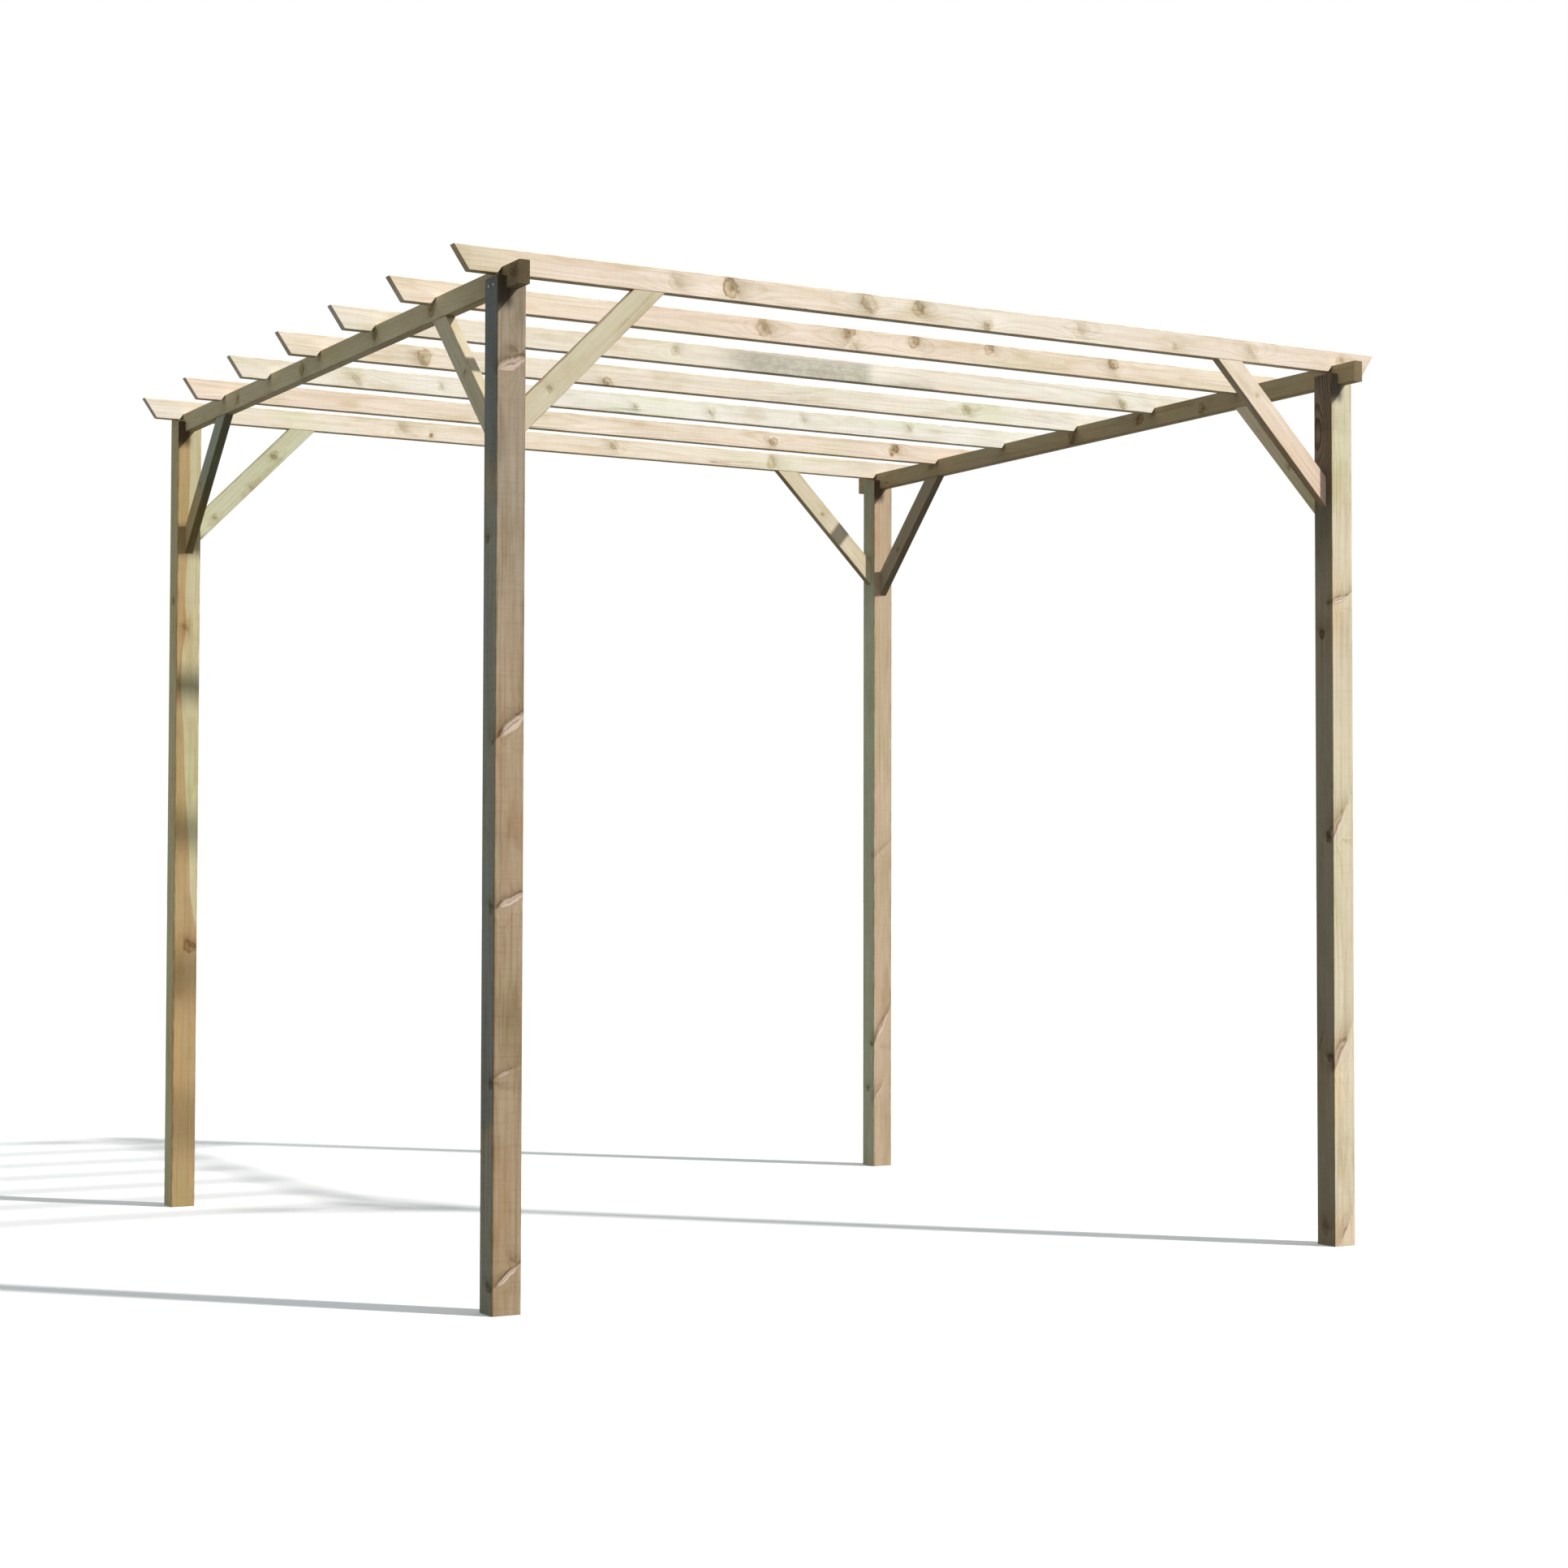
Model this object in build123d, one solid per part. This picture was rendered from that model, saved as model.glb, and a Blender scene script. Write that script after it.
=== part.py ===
from build123d import *
import os

# Garden pergola: four forked posts, two side beams, seven rafters and eight corner braces.
# Units are millimetres. X runs along the rafters, Y along the side beams, Z is up.
# The origin is on the ground, in the middle of the four posts.

# Layout
span_x = 2400.0          # between post centres, left to right
span_y = 2310.0          # between post centres, front to back
rafter_level = 2310.0    # height of the rafters' undersides
rafter_count = 7

# Posts
post_size = 70.0
post_ease = 3.0          # rounding of the long edges
fork_gap = 8.0           # between a forked post top and the rafter above it

# Side beams
beam_thickness = 27.0
beam_depth = 54.0
beam_stub = 66.0         # how far a beam end stands out beyond the posts
beam_ease = 2.0

# Rafters
rafter_thickness = 25.0
rafter_depth = 56.0
rafter_ease = 2.0
tip_reach_top = 130.0    # from the post centre line to the upper tip
tip_reach_bottom = 92.0  # from the post centre line to the lower end of the slanted cut
notch_depth = 17.0
notch_flare = 12.0       # how far each notch wall leans out on its way down

# Corner braces
brace_thickness = 24.0
brace_cut = 80.0         # length of the cut face at each end of a brace
brace_reach = 280.0      # from the corner to the near edge of that cut face
brace_ease = 2.0

# Worked out from the above
half_x = span_x / 2
half_y = span_y / 2
half_post = post_size / 2
half_beam = beam_thickness / 2
cheek_top = rafter_level - fork_gap
beam_top = rafter_level + notch_depth
beam_bottom = beam_top - beam_depth
beam_length = span_y + post_size + 2 * beam_stub
rafter_pitch = span_y / (rafter_count - 1)

SIDES = {"left": -1, "right": 1}
ENDS = {"front": -1, "back": 1}


def post(side, end):
    """Square post whose top is slotted from front to back for the side beam."""
    shaft = extrude(RectangleRounded(post_size, post_size, post_ease), cheek_top)
    slot_depth = cheek_top - beam_bottom
    slot = Box(beam_thickness, 2 * post_size, slot_depth, align=(Align.CENTER, Align.CENTER, Align.MAX))
    forked = shaft - Pos(0, 0, cheek_top) * slot
    return Pos(side * half_x, end * half_y, 0) * forked


def side_beam(side):
    """Board on edge that lies in the post slots, square at both ends."""
    section = Plane.XZ * RectangleRounded(beam_thickness, beam_depth, beam_ease)
    beam = extrude(section, beam_length / 2, both=True)
    return Pos(side * half_x, 0, beam_top - beam_depth / 2) * beam


def rafter_outline():
    """Side view of a rafter: slanted ends, and two flared notches over the beams."""
    right_half = [
        (half_x - half_beam - notch_flare, 0),
        (half_x - half_beam, notch_depth),
        (half_x + half_beam, notch_depth),
        (half_x + half_beam + notch_flare, 0),
        (half_x + tip_reach_bottom, 0),
        (half_x + tip_reach_top, rafter_depth),
    ]
    left_half = [(-x, z) for x, z in reversed(right_half)]
    return make_face(Polyline(*right_half, *left_half, close=True))


def rafter(y):
    """Board on edge across both beams, cut to the rafter outline."""
    section = Plane.YZ * RectangleRounded(rafter_thickness, rafter_depth, rafter_ease)
    board = extrude(section, half_x + tip_reach_top, both=True)
    board = Pos(0, 0, rafter_depth / 2) * board
    cutter = extrude(Plane.XZ * rafter_outline(), rafter_thickness, both=True)
    return Pos(0, y, rafter_level) * (board & cutter)


def brace():
    """Corner brace in the XZ plane: a post to the left of it, a timber above it."""
    outline = make_face(
        Polyline(
            (0, -brace_reach),
            (brace_reach, 0),
            (brace_reach + brace_cut, 0),
            (0, -brace_reach - brace_cut),
            close=True,
        )
    )
    stick = extrude(Plane.XZ * outline, brace_thickness / 2, both=True)
    long_edges = stick.edges().filter_by(Axis((0, 0, 0), (1, 0, 1)))
    return fillet(long_edges, brace_ease)


def rafter_brace(side, end):
    """Brace from the inner side face of a post up to the underside of an end rafter."""
    turn = 0 if side < 0 else 180
    corner = Pos(side * (half_x - half_post), end * half_y, rafter_level)
    return corner * Rot(0, 0, turn) * brace()


def beam_brace(side, end):
    """Brace from the inner face of a post up to the underside of a side beam."""
    turn = 90 if end < 0 else -90
    corner = Pos(side * half_x, end * (half_y - half_post), beam_bottom)
    return corner * Rot(0, 0, turn) * brace()


def build_parts():
    """All pieces of the pergola by name."""
    pieces = {}
    for side_name, side in SIDES.items():
        pieces[f"beam_{side_name}"] = side_beam(side)
        for end_name, end in ENDS.items():
            place = f"{end_name}_{side_name}"
            pieces[f"post_{place}"] = post(side, end)
            pieces[f"rafter_brace_{place}"] = rafter_brace(side, end)
            pieces[f"beam_brace_{place}"] = beam_brace(side, end)
    for number in range(rafter_count):
        pieces[f"rafter_{number + 1}"] = rafter(-half_y + number * rafter_pitch)
    return pieces


os.makedirs("parts", exist_ok=True)
for name, solid in build_parts().items():
    export_step(solid, f"parts/{name}.step")
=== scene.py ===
import math

import bpy
from mathutils import Euler, Matrix, Vector


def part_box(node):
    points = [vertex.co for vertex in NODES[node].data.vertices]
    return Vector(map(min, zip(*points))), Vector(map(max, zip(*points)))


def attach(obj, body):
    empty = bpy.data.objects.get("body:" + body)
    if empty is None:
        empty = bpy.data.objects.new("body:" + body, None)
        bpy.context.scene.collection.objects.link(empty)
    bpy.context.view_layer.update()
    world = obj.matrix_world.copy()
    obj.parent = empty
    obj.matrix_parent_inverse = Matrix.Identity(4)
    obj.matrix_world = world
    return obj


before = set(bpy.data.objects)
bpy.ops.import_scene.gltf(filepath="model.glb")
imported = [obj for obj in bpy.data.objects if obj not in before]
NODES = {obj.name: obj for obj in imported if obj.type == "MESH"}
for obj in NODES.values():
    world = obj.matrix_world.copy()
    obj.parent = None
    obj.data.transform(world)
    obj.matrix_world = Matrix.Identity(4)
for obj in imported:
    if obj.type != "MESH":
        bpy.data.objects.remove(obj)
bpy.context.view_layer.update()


# Colours, named once, as 0 to 255 display values

PALETTE = {
    "cream": (240, 230, 211),
    "warm_cream": (241, 227, 205),
    "rosy_cream": (240, 222, 202),
    "white_cream": (243, 238, 224),
    "straw": (221, 208, 178),
    "straw_light": (225, 214, 188),
    "rosy_straw": (224, 204, 174),
    "pale_khaki": (204, 195, 155),
    "khaki_tan": (184, 162, 118),
    "orange_tan": (188, 160, 115),
    "pink_tan": (197, 174, 145),
    "grey_tan": (174, 152, 123),
    "grey_pink": (165, 150, 129),
    "slate_wood": (146, 149, 134),
    "slate_dark": (122, 126, 117),
    "slate_deep": (104, 110, 108),
    "slate_brown": (158, 146, 120),
    "brown_grey": (152, 142, 120),
    "umber": (104, 92, 80),
    "umber_light": (132, 116, 100),
    "umber_green": (128, 116, 88),
    "pale_green": (196, 200, 166),
    "green_grey": (168, 168, 142),
    "olive_straw": (202, 197, 152),
    "olive_brown": (180, 172, 130),
    "beam_straw": (203, 192, 156),
    "beam_brown": (174, 158, 122),
    "brace_olive": (208, 198, 168),
    "brace_rose": (234, 208, 184),
    "brace_lime": (202, 201, 168),
    "brace_grey": (158, 162, 145),
    "brace_umber": (158, 146, 122),
    "silver": (168, 166, 148),
}
SPIKE_BODY = (230, 210, 192)         # a branch cut along
ZINC = (124, 126, 124)
PALE_ZINC = (150, 150, 144)

# What each kind of mark multiplies the linear colour under it by
TINTS = {
    "balance": (1.07, 1.08, 1.12),        # makes up for what lines and streaks take on average
    "green_cloud": (0.91, 0.97, 0.86),
    "rosy_cloud": (1.0, 0.92, 0.84),
    "pale_bloom": (1.06, 1.07, 1.09),
    "dark_bloom": (0.88, 0.85, 0.77),
    "growth_line": (0.80, 0.67, 0.52),
    "deep_line": (0.30, 0.25, 0.22),      # on top of that, where the contrast is above 1
    "stain": (0.74, 0.71, 0.66),
    "streak": (0.76, 0.71, 0.64),
    "fibre": (0.82, 0.78, 0.71),
    "ripple": (0.93, 0.91, 0.88),
    # painted shadow: darkens the front of a post's top where the beam stub's shadow falls
    "painted_fork_shadow": (0.18, 0.16, 0.15),
    "knot": (0.42, 0.34, 0.26),
    "knot_ring": (0.76, 0.66, 0.50),
    "knot_heart": (0.55, 0.41, 0.27),
    "knot_line": (0.58, 0.46, 0.38),
    "knot_rim": (0.46, 0.26, 0.13),
    "smear": (0.42, 0.36, 0.25),
    "halo": (0.80, 0.77, 0.62),
    "sheen": (1.12, 1.13, 1.15),
    "crack": (0.34, 0.27, 0.22),
    # painted shade with a greenish damp film, on faces that look down
    "damp_film_and_shade": (0.36, 0.33, 0.21),
    "end_grain": (0.62, 0.58, 0.55),
    "end_line": (0.60, 0.56, 0.50),
    "brown_arris": (0.80, 0.62, 0.43),
    "pale_arris": (1.10, 1.08, 1.03),
    "dull_zinc": (0.80, 0.76, 0.62),
}

# Noise patterns: shift in metres, cycles a metre across, through and along the board, detail, roughness
NO_SHIFT = (0.0, 0.0, 0.0)
PATTERNS = {
    "pith_drift": (NO_SHIFT, (2.0, 2.0, 1.1), 1.0, 0.4),
    "ring_jitter": (NO_SHIFT, (55.0, 55.0, 3.0), 2.0, 0.5),
    "heart_edge": (NO_SHIFT, (40.0, 40.0, 4.0), 3.0, 0.5),
    "cloud": (NO_SHIFT, (9.0, 9.0, 2.2), 2.0, 0.55),
    "bloom": ((1.0, 4.0, 2.0), (16.0, 16.0, 5.0), 3.0, 0.6),
    "stain": ((5.0, 2.0, 9.0), (14.0, 14.0, 3.5), 4.0, 0.6),
    "streak": (NO_SHIFT, (110.0, 110.0, 2.0), 3.0, 0.65),
    "fibre": (NO_SHIFT, (520.0, 520.0, 9.0), 3.0, 0.65),
    "ripple": (NO_SHIFT, (14.0, 14.0, 150.0), 3.0, 0.6),
    "knot_coarse": (NO_SHIFT, (120.0, 120.0, 80.0), 3.0, 0.6),
    "knot_broad": (NO_SHIFT, (42.0, 42.0, 28.0), 3.0, 0.5),
    "knot_waver": (NO_SHIFT, (34.0, 34.0, 14.0), 3.0, 0.55),
    "rim_arcs": ((2.0, 6.0, 4.0), (38.0, 38.0, 30.0), 1.0, 0.5),
    "crack_line": ((3.0, 8.0, 1.0), (24.0, 24.0, 0.8), 1.0, 0.5),
    "crack_patch": (NO_SHIFT, (4.0, 4.0, 1.7), 1.0, 0.5),
    "chips": (NO_SHIFT, (150.0, 150.0, 22.0), 3.0, 0.6),
    "ruffle": (NO_SHIFT, (18.0, 18.0, 3.0), 3.0, 0.5),
    "worn": (NO_SHIFT, (90.0, 90.0, 45.0), 5.0, 0.7),
    "zinc_cloud": (NO_SHIFT, (900.0, 900.0, 900.0), 3.0, 0.6),
    "zinc_dull": (NO_SHIFT, (210.0, 210.0, 210.0), 2.0, 0.5),
}
NOISE_MIDDLE = (0.5, 0.5, 0.5)
NOISE_SPAN = 4.0         # noise keeps to about a quarter either side of its middle, and this makes that 1

# Smooth steps: where each one starts and ends, and what it gives at both where that isn't 0 and 1
RAMPS = {
    "ring_rise": (0.35, 0.92),
    "ring_end": (0.93, 1.0, 1.0, 0.0),
    "heart_edge": (-0.002, 0.002, 1.0, 0.0),
    "green_cloud": (0.52, 0.72, 0.0, 0.9),
    "rosy_cloud": (0.47, 0.28, 0.0, 0.9),
    "pale_bloom": (0.52, 0.68),
    "dark_bloom": (0.47, 0.30),
    "stain": (0.50, 0.72),
    "streak": (0.46, 0.72),
    "fibre": (0.42, 0.72),
    "ripple": (0.46, 0.70),
    "end_on": (0.30, 0.70),
    "smear_side": (-0.15, 0.45),
    "sheen_side": (0.05, -0.50),
    "sheen_start": (0.15, 0.60),
    "knot_ring": (0.45, 0.95),
    "knot_heart": (0.36, 0.08),
    "knot_line": (0.02, 0.20, 0.9, 0.0),
    "rim_arcs": (0.42, 0.56, 0.05, 1.0),
    "rim_side": (-0.1, 0.6),
    "rim_tone": (0.10, 0.85),
    "crack_line": (0.0, 0.006, 1.0, 0.0),
    "crack_patch": (0.56, 0.62),
    "damp_film_and_shade": (0.30, 0.65, 0.55, 1.0),
    "brown_arris": (0.40, 0.60, 0.0, 0.75),
    "pale_arris": (0.58, 0.44, 0.0, 0.5),
    "cut_end": (0.80, 0.97),
    "facing_down": (-0.35, -0.75),
    "facing_there": (0.45, 0.85),
    "worn_grey": (0.25, 0.65, 0.35, 0.75),
    # painted fork shadow: full left of the post's middle line, none right of it
    "fork_shadow_side": (0.012, -0.010),
    "pale_zinc": (0.35, 0.70),
    "dull_zinc": (0.50, 0.70, 0.0, 0.5),
    "zinc_roughness": (0.3, 0.7, 0.34, 0.55),
}


def linear(rgb):
    """A 0 to 255 display colour as Blender's linear one."""
    shares = [c / 255 for c in rgb]
    return [s / 12.92 if s <= 0.04045 else ((s + 0.055) / 1.055) ** 2.4 for s in shares] + [1.0]


# A short way to write shader nodes

class Graph:
    def __init__(self, tree):
        self.tree = tree

    def feed(self, socket, value):
        if isinstance(value, bpy.types.NodeSocket):
            self.tree.links.new(value, socket)
        else:
            socket.default_value = value

    def add(self, kind, values=None, **settings):
        node = self.tree.nodes.new(kind)
        for name, value in settings.items():
            setattr(node, name, value)
        for key, value in (values or {}).items():
            self.feed(node.inputs[key], value)
        return node

    def math(self, operation, *values):
        return self.add("ShaderNodeMath", dict(enumerate(values)), operation=operation).outputs[0]

    def vector(self, operation, *values, out="Vector"):
        node = self.add("ShaderNodeVectorMath", operation=operation)
        for index, value in enumerate(values):
            socket = node.inputs["Scale"] if operation == "SCALE" and index == 1 else node.inputs[index]
            self.feed(socket, value)
        return node.outputs[out]

    def dot(self, first, second):
        return self.vector("DOT_PRODUCT", first, second, out="Value")

    def length(self, value):
        return self.vector("LENGTH", value, out="Value")

    def mix(self, factor, first, second, mode="MIX"):
        node = self.add("ShaderNodeMix", data_type="RGBA", blend_type=mode)
        self.feed(node.inputs[0], factor)
        self.feed(node.inputs[6], first)
        self.feed(node.inputs[7], second)
        return node.outputs[2]

    def times(self, value, *others):
        for other in others:
            value = self.math("MULTIPLY", value, other)
        return value

    def line(self, value, slope, start):
        """slope times value, plus start."""
        return self.math("MULTIPLY_ADD", value, slope, start)

    def at_least(self, least, value):
        """A value from 0 to 1, squeezed into least to 1."""
        return self.line(value, 1.0 - least, least)

    def centred(self, value, span):
        """A value from 0 to 1, as a length of that span with 0 in its middle."""
        return self.line(value, span, -span / 2)

    def fade(self, value, rate):
        """1 where value is 0, and fading out with it."""
        return self.math("EXPONENT", self.times(value, -rate))

    def tint(self, factor, colour, name):
        """colour times a named tint, faded in with factor."""
        return self.mix(factor, colour, (*TINTS[name], 1.0), "MULTIPLY")

    def step(self, value, low, high, to_low=0.0, to_high=1.0):
        node = self.add("ShaderNodeMapRange", interpolation_type="SMOOTHSTEP")
        for key, item in zip(("Value", "From Min", "From Max", "To Min", "To Max"),
                             (value, low, high, to_low, to_high)):
            self.feed(node.inputs[key], item)
        return node.outputs[0]

    def ramp(self, value, name):
        """The smooth step of that name."""
        return self.step(value, *RAMPS[name])

    def mark(self, name, value, colour, *shares):
        """colour with the tint of that name, where value passes the smooth step of that name."""
        return self.tint(self.times(self.ramp(value, name), *shares), colour, name)

    def noise(self, point, name, colour=False):
        """A named noise pattern, 0 to 1: one value, or one for each channel of a colour."""
        shift, cycles, detail, roughness = PATTERNS[name]
        scaled = self.vector("MULTIPLY", self.vector("ADD", point, shift), cycles)
        values = {"Vector": scaled, "Scale": 1.0, "Detail": detail, "Roughness": roughness}
        node = self.add("ShaderNodeTexNoise", values)
        return node.outputs["Color" if colour else "Fac"]

    def split(self, value):
        node = self.add("ShaderNodeSeparateXYZ", {0: value})
        return node.outputs[0], node.outputs[1], node.outputs[2]

    def join(self, x, y, z):
        return self.add("ShaderNodeCombineXYZ", {0: x, 1: y, 2: z}).outputs[0]


def make_group(name, inputs, outputs, build):
    """A node group. build gets the graph and the inputs by name, and returns the outputs in order."""
    tree = bpy.data.node_groups.new(name, "ShaderNodeTree")
    for label, kind in inputs:
        tree.interface.new_socket(label, in_out="INPUT", socket_type="NodeSocket" + kind)
    for label, kind in outputs:
        tree.interface.new_socket(label, in_out="OUTPUT", socket_type="NodeSocket" + kind)
    graph = Graph(tree)
    start = graph.add("NodeGroupInput")
    results = build(graph, {label: start.outputs[label] for label, _ in inputs})
    end = graph.add("NodeGroupOutput")
    for (label, _), value in zip(outputs, results):
        graph.feed(end.inputs[label], value)
    return tree


def empty_graph(owner):
    """The graph of a material or a world, without its default nodes."""
    owner.use_nodes = True
    owner.node_tree.nodes.clear()
    return Graph(owner.node_tree)


def new_object(name, data):
    obj = bpy.data.objects.new(name, data)
    bpy.context.scene.collection.objects.link(obj)
    return obj


# One knot: the foot of a branch, a long ellipsoid with the growth rings bent round it

BEND_STRETCH = (1.0, 1.0, 0.5)       # rings swerve over a longer way along the grain than across it
BEND_FADE = 0.30
BEND_SHARE = 0.45        # of the knot's radius that the rings are pushed aside
TINY = 0.0001            # metres, so that nothing is divided by zero

KNOT_INPUTS = [("Point", "Vector"), ("Normal", "Vector"), ("Centre", "Vector"), ("Direction", "Vector"),
               ("Lean", "Vector"), ("Half Length", "Float"), ("Radius", "Float"), ("Tone", "Float"),
               ("Distance In", "Float"), ("Bend In", "Float"), ("Tone In", "Float"),
               ("End On In", "Float"), ("Side In", "Float")]
KNOT_OUTPUTS = [("Distance", "Float"), ("Bend", "Float"), ("Tone", "Float"), ("End On", "Float"),
                ("Side", "Float")]
KNOT_CHAIN = [label + " In" for label, _ in KNOT_OUTPUTS]      # each knot takes in the one before it


def build_knot(g, given):
    """Distance is in knot radii: 1 is the knot's edge. Bend is how far the rings are pushed out, in metres.
    End On is 1 where the branch comes straight out of the face, and 0 where it lies along the face.
    Side is 1 beside the knot in the direction of Lean, and -1 on the other side."""
    offset = g.vector("SUBTRACT", given["Point"], given["Centre"])
    outward = g.dot(offset, given["Direction"])
    beside = g.vector("SUBTRACT", offset, g.vector("SCALE", given["Direction"], outward))
    endways = g.math("DIVIDE", outward, given["Half Length"])
    endways = g.times(endways, endways)

    def squared(value):
        share = g.math("DIVIDE", g.length(value), given["Radius"])
        return g.line(share, share, endways)

    distance = g.math("SQRT", squared(beside))
    stretched = squared(g.vector("MULTIPLY", beside, BEND_STRETCH))
    push = g.times(given["Radius"], BEND_SHARE)
    bend = g.line(g.fade(stretched, BEND_FADE), push, given["Bend In"])
    nearer = g.math("LESS_THAN", distance, given["Distance In"])
    side = g.math("DIVIDE", g.dot(beside, given["Lean"]), g.math("MAXIMUM", g.length(beside), TINY))
    end_on = g.math("ABSOLUTE", g.dot(given["Normal"], given["Direction"]))

    def of_nearer(value, before):
        return g.line(g.math("SUBTRACT", value, before), nearer, before)

    return (g.math("MINIMUM", given["Distance In"], distance), bend,
            of_nearer(given["Tone"], given["Tone In"]), of_nearer(end_on, given["End On In"]),
            of_nearer(side, given["Side In"]))


# Sawn, pressure-treated softwood

WOOD_INPUTS = [("Point", "Vector"), ("Seed", "Float"), ("Pith", "Vector"), ("Spacing", "Float"),
               ("Contrast", "Float"), ("Tone Colour", "Color"), ("Heart Colour", "Color"),
               ("Heart Radius", "Float"), ("Half Size", "Vector"), ("Arris", "Float"),
               ("End", "Float"), ("Wear", "Float"), ("Weather", "Float"), ("Under", "Float"),
               ("Knot Distance", "Float"), ("Knot Bend", "Float"), ("Knot Tone", "Float"),
               ("Knot End On", "Float"), ("Knot Side", "Float"), ("Knot Fill", "Float"),
               ("Painted Fork Shadow", "Float")]
WOOD_OUTPUTS = [("Color", "Color"), ("Roughness", "Float"), ("Height", "Float")]

SEED_SHIFT = (17.0, 31.0, 7.3)       # metres by which one step of the seed moves the noise
WANDER = 0.010           # metres that the heart line strays from side to side
RING_JITTER = 0.0009
FAINTEST_RING = 0.4      # the strongest is 1
HEART_WAVER = 0.012      # metres that the heartwood's edge wavers over
EDGE_BAND = 0.005        # metres of wear beside an arris

BROAD_WAVER = 1.6        # knot radii that a knot's outline wavers over, broadly and finely
COARSE_WAVER = 0.6
SPIKE_WAVER = 0.25       # share of that where the branch is cut along
SURROUNDINGS = 0.8       # knot radii from its middle to where the grain beside it starts
SMEAR_FADE = 0.85        # per knot radius
HALO_FADE = 1.6
KNOT_RINGS = 2.3         # to a knot radius
SPIKE_LINES = 1.2        # to a knot radius
RIM_WIDTH = 0.17         # in knot radii

SAW_RATE = 1500.0        # radians a metre, so a ridge every 4 mm
SAW_WAVER = 3.0          # radians that the fibres push the ridges along
RELIEF = {"late": 0.35, "fibre": 0.55, "streak": 0.25, "body": 0.30, "rim": -0.40, "crack": -1.6,
          "saw": 0.05, "ripple": 0.20, "chips": 0.10}     # shares of the bump's depth, minus goes inwards


def growth_rings(g, given, seeded):
    """Radius from the pith, and how dark the growth line is there, 0 to 1."""
    flat = g.vector("MULTIPLY", given["Point"], (1.0, 1.0, 0.0))
    drift = g.vector("SUBTRACT", g.noise(seeded, "pith_drift", colour=True), NOISE_MIDDLE)
    drift = g.vector("MULTIPLY", drift, (NOISE_SPAN * WANDER, NOISE_SPAN * WANDER, 0.0))
    radius = g.length(g.vector("ADD", g.vector("SUBTRACT", flat, given["Pith"]), drift))
    jitter = g.centred(g.noise(seeded, "ring_jitter"), NOISE_SPAN * RING_JITTER)
    bent = g.math("ADD", g.math("SUBTRACT", radius, given["Knot Bend"]), jitter)
    count = g.math("DIVIDE", bent, given["Spacing"])
    within = g.math("FRACT", count)
    ring_id = g.math("ADD", g.math("FLOOR", count), given["Seed"])
    strength = g.add("ShaderNodeTexWhiteNoise", {"W": ring_id}, noise_dimensions="1D").outputs["Value"]
    late = g.times(g.ramp(within, "ring_rise"), g.ramp(within, "ring_end"),
                   g.at_least(FAINTEST_RING, strength))
    return bent, late


def grain_beside_knot(g, given, colour, distance, coarse, end_on):
    """The grain dives beside a knot: a brown smear on one side of it and a pale one on the other."""
    tone, fill, side = given["Knot Tone"], given["Knot Fill"], given["Knot Side"]
    outside = g.math("MAXIMUM", g.math("SUBTRACT", distance, SURROUNDINGS), 0.0)
    leaning = g.line(coarse, 0.9, g.math("ADD", side, -0.45))
    near = g.times(g.fade(outside, SMEAR_FADE), g.at_least(0.45, tone))
    smear = g.times(near, g.ramp(leaning, "smear_side"), g.at_least(0.60, fill))
    halo = g.times(g.fade(outside, HALO_FADE), end_on, g.at_least(0.2, tone))
    sheen = g.times(near, g.ramp(leaning, "sheen_side"), g.ramp(outside, "sheen_start"))
    for name, share in (("smear", smear), ("halo", halo), ("sheen", sheen)):
        colour = g.tint(share, colour, name)
    return colour


def cut_across_knot(g, given, colour, distance):
    """A branch that comes out of the face: round, darker and ringed."""
    tone = given["Knot Tone"]
    colour = g.tint(g.times(tone, given["Knot Fill"]), colour, "knot")
    colour = g.mark("knot_ring", g.math("FRACT", g.times(distance, KNOT_RINGS)), colour, tone)
    return g.mark("knot_heart", distance, colour, tone)


def cut_along_knot(g, given, colour, distance):
    """A branch that lies along the face: pale, with lines that run with it."""
    colour = g.mix(g.line(given["Knot Tone"], 0.60, 0.28), colour, linear(SPIKE_BODY))
    within = g.math("FRACT", g.line(g.times(given["Knot Side"], distance), SPIKE_LINES, 0.30))
    return g.mark("knot_line", g.math("ABSOLUTE", g.math("SUBTRACT", within, 0.5)), colour)


def knot_rim(g, given, seeded, distance, end_on):
    """A thin dark rim, in arcs, and only above a branch that is cut along."""
    off_rim = g.math("DIVIDE", g.math("SUBTRACT", distance, 1.0), RIM_WIDTH)
    arcs = g.ramp(g.noise(seeded, "rim_arcs"), "rim_arcs")
    shown = g.math("MAXIMUM", end_on, g.ramp(given["Knot Side"], "rim_side"))
    return g.times(g.fade(g.times(off_rim, off_rim), 1.0), arcs, shown)


def knot_look(g, given, colour, seeded):
    """Lays the knots over the colour. Returns the colour, the knot body mask and the rim mask."""
    end_on = g.ramp(given["Knot End On"], "end_on")
    coarse = g.noise(seeded, "knot_coarse")
    ragged = g.line(coarse, COARSE_WAVER, -(BROAD_WAVER + COARSE_WAVER) / 2)
    ragged = g.line(g.noise(seeded, "knot_broad"), BROAD_WAVER, ragged)
    ragged = g.times(ragged, g.at_least(SPIKE_WAVER, end_on))
    distance = g.math("ADD", given["Knot Distance"], ragged)
    colour = grain_beside_knot(g, given, colour, distance, coarse, end_on)
    cut_across = cut_across_knot(g, given, colour, distance)
    cut_along = cut_along_knot(g, given, colour, distance)
    fade_start = g.line(end_on, 0.40, 0.46)
    body = g.step(distance, fade_start, 1.05, 1.0, 0.0)
    colour = g.mix(body, colour, g.mix(end_on, cut_along, cut_across))
    rim = knot_rim(g, given, seeded, distance, end_on)
    rim_share = g.times(rim, g.ramp(given["Knot Tone"], "rim_tone"))
    return g.tint(rim_share, colour, "knot_rim"), body, rim


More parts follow.
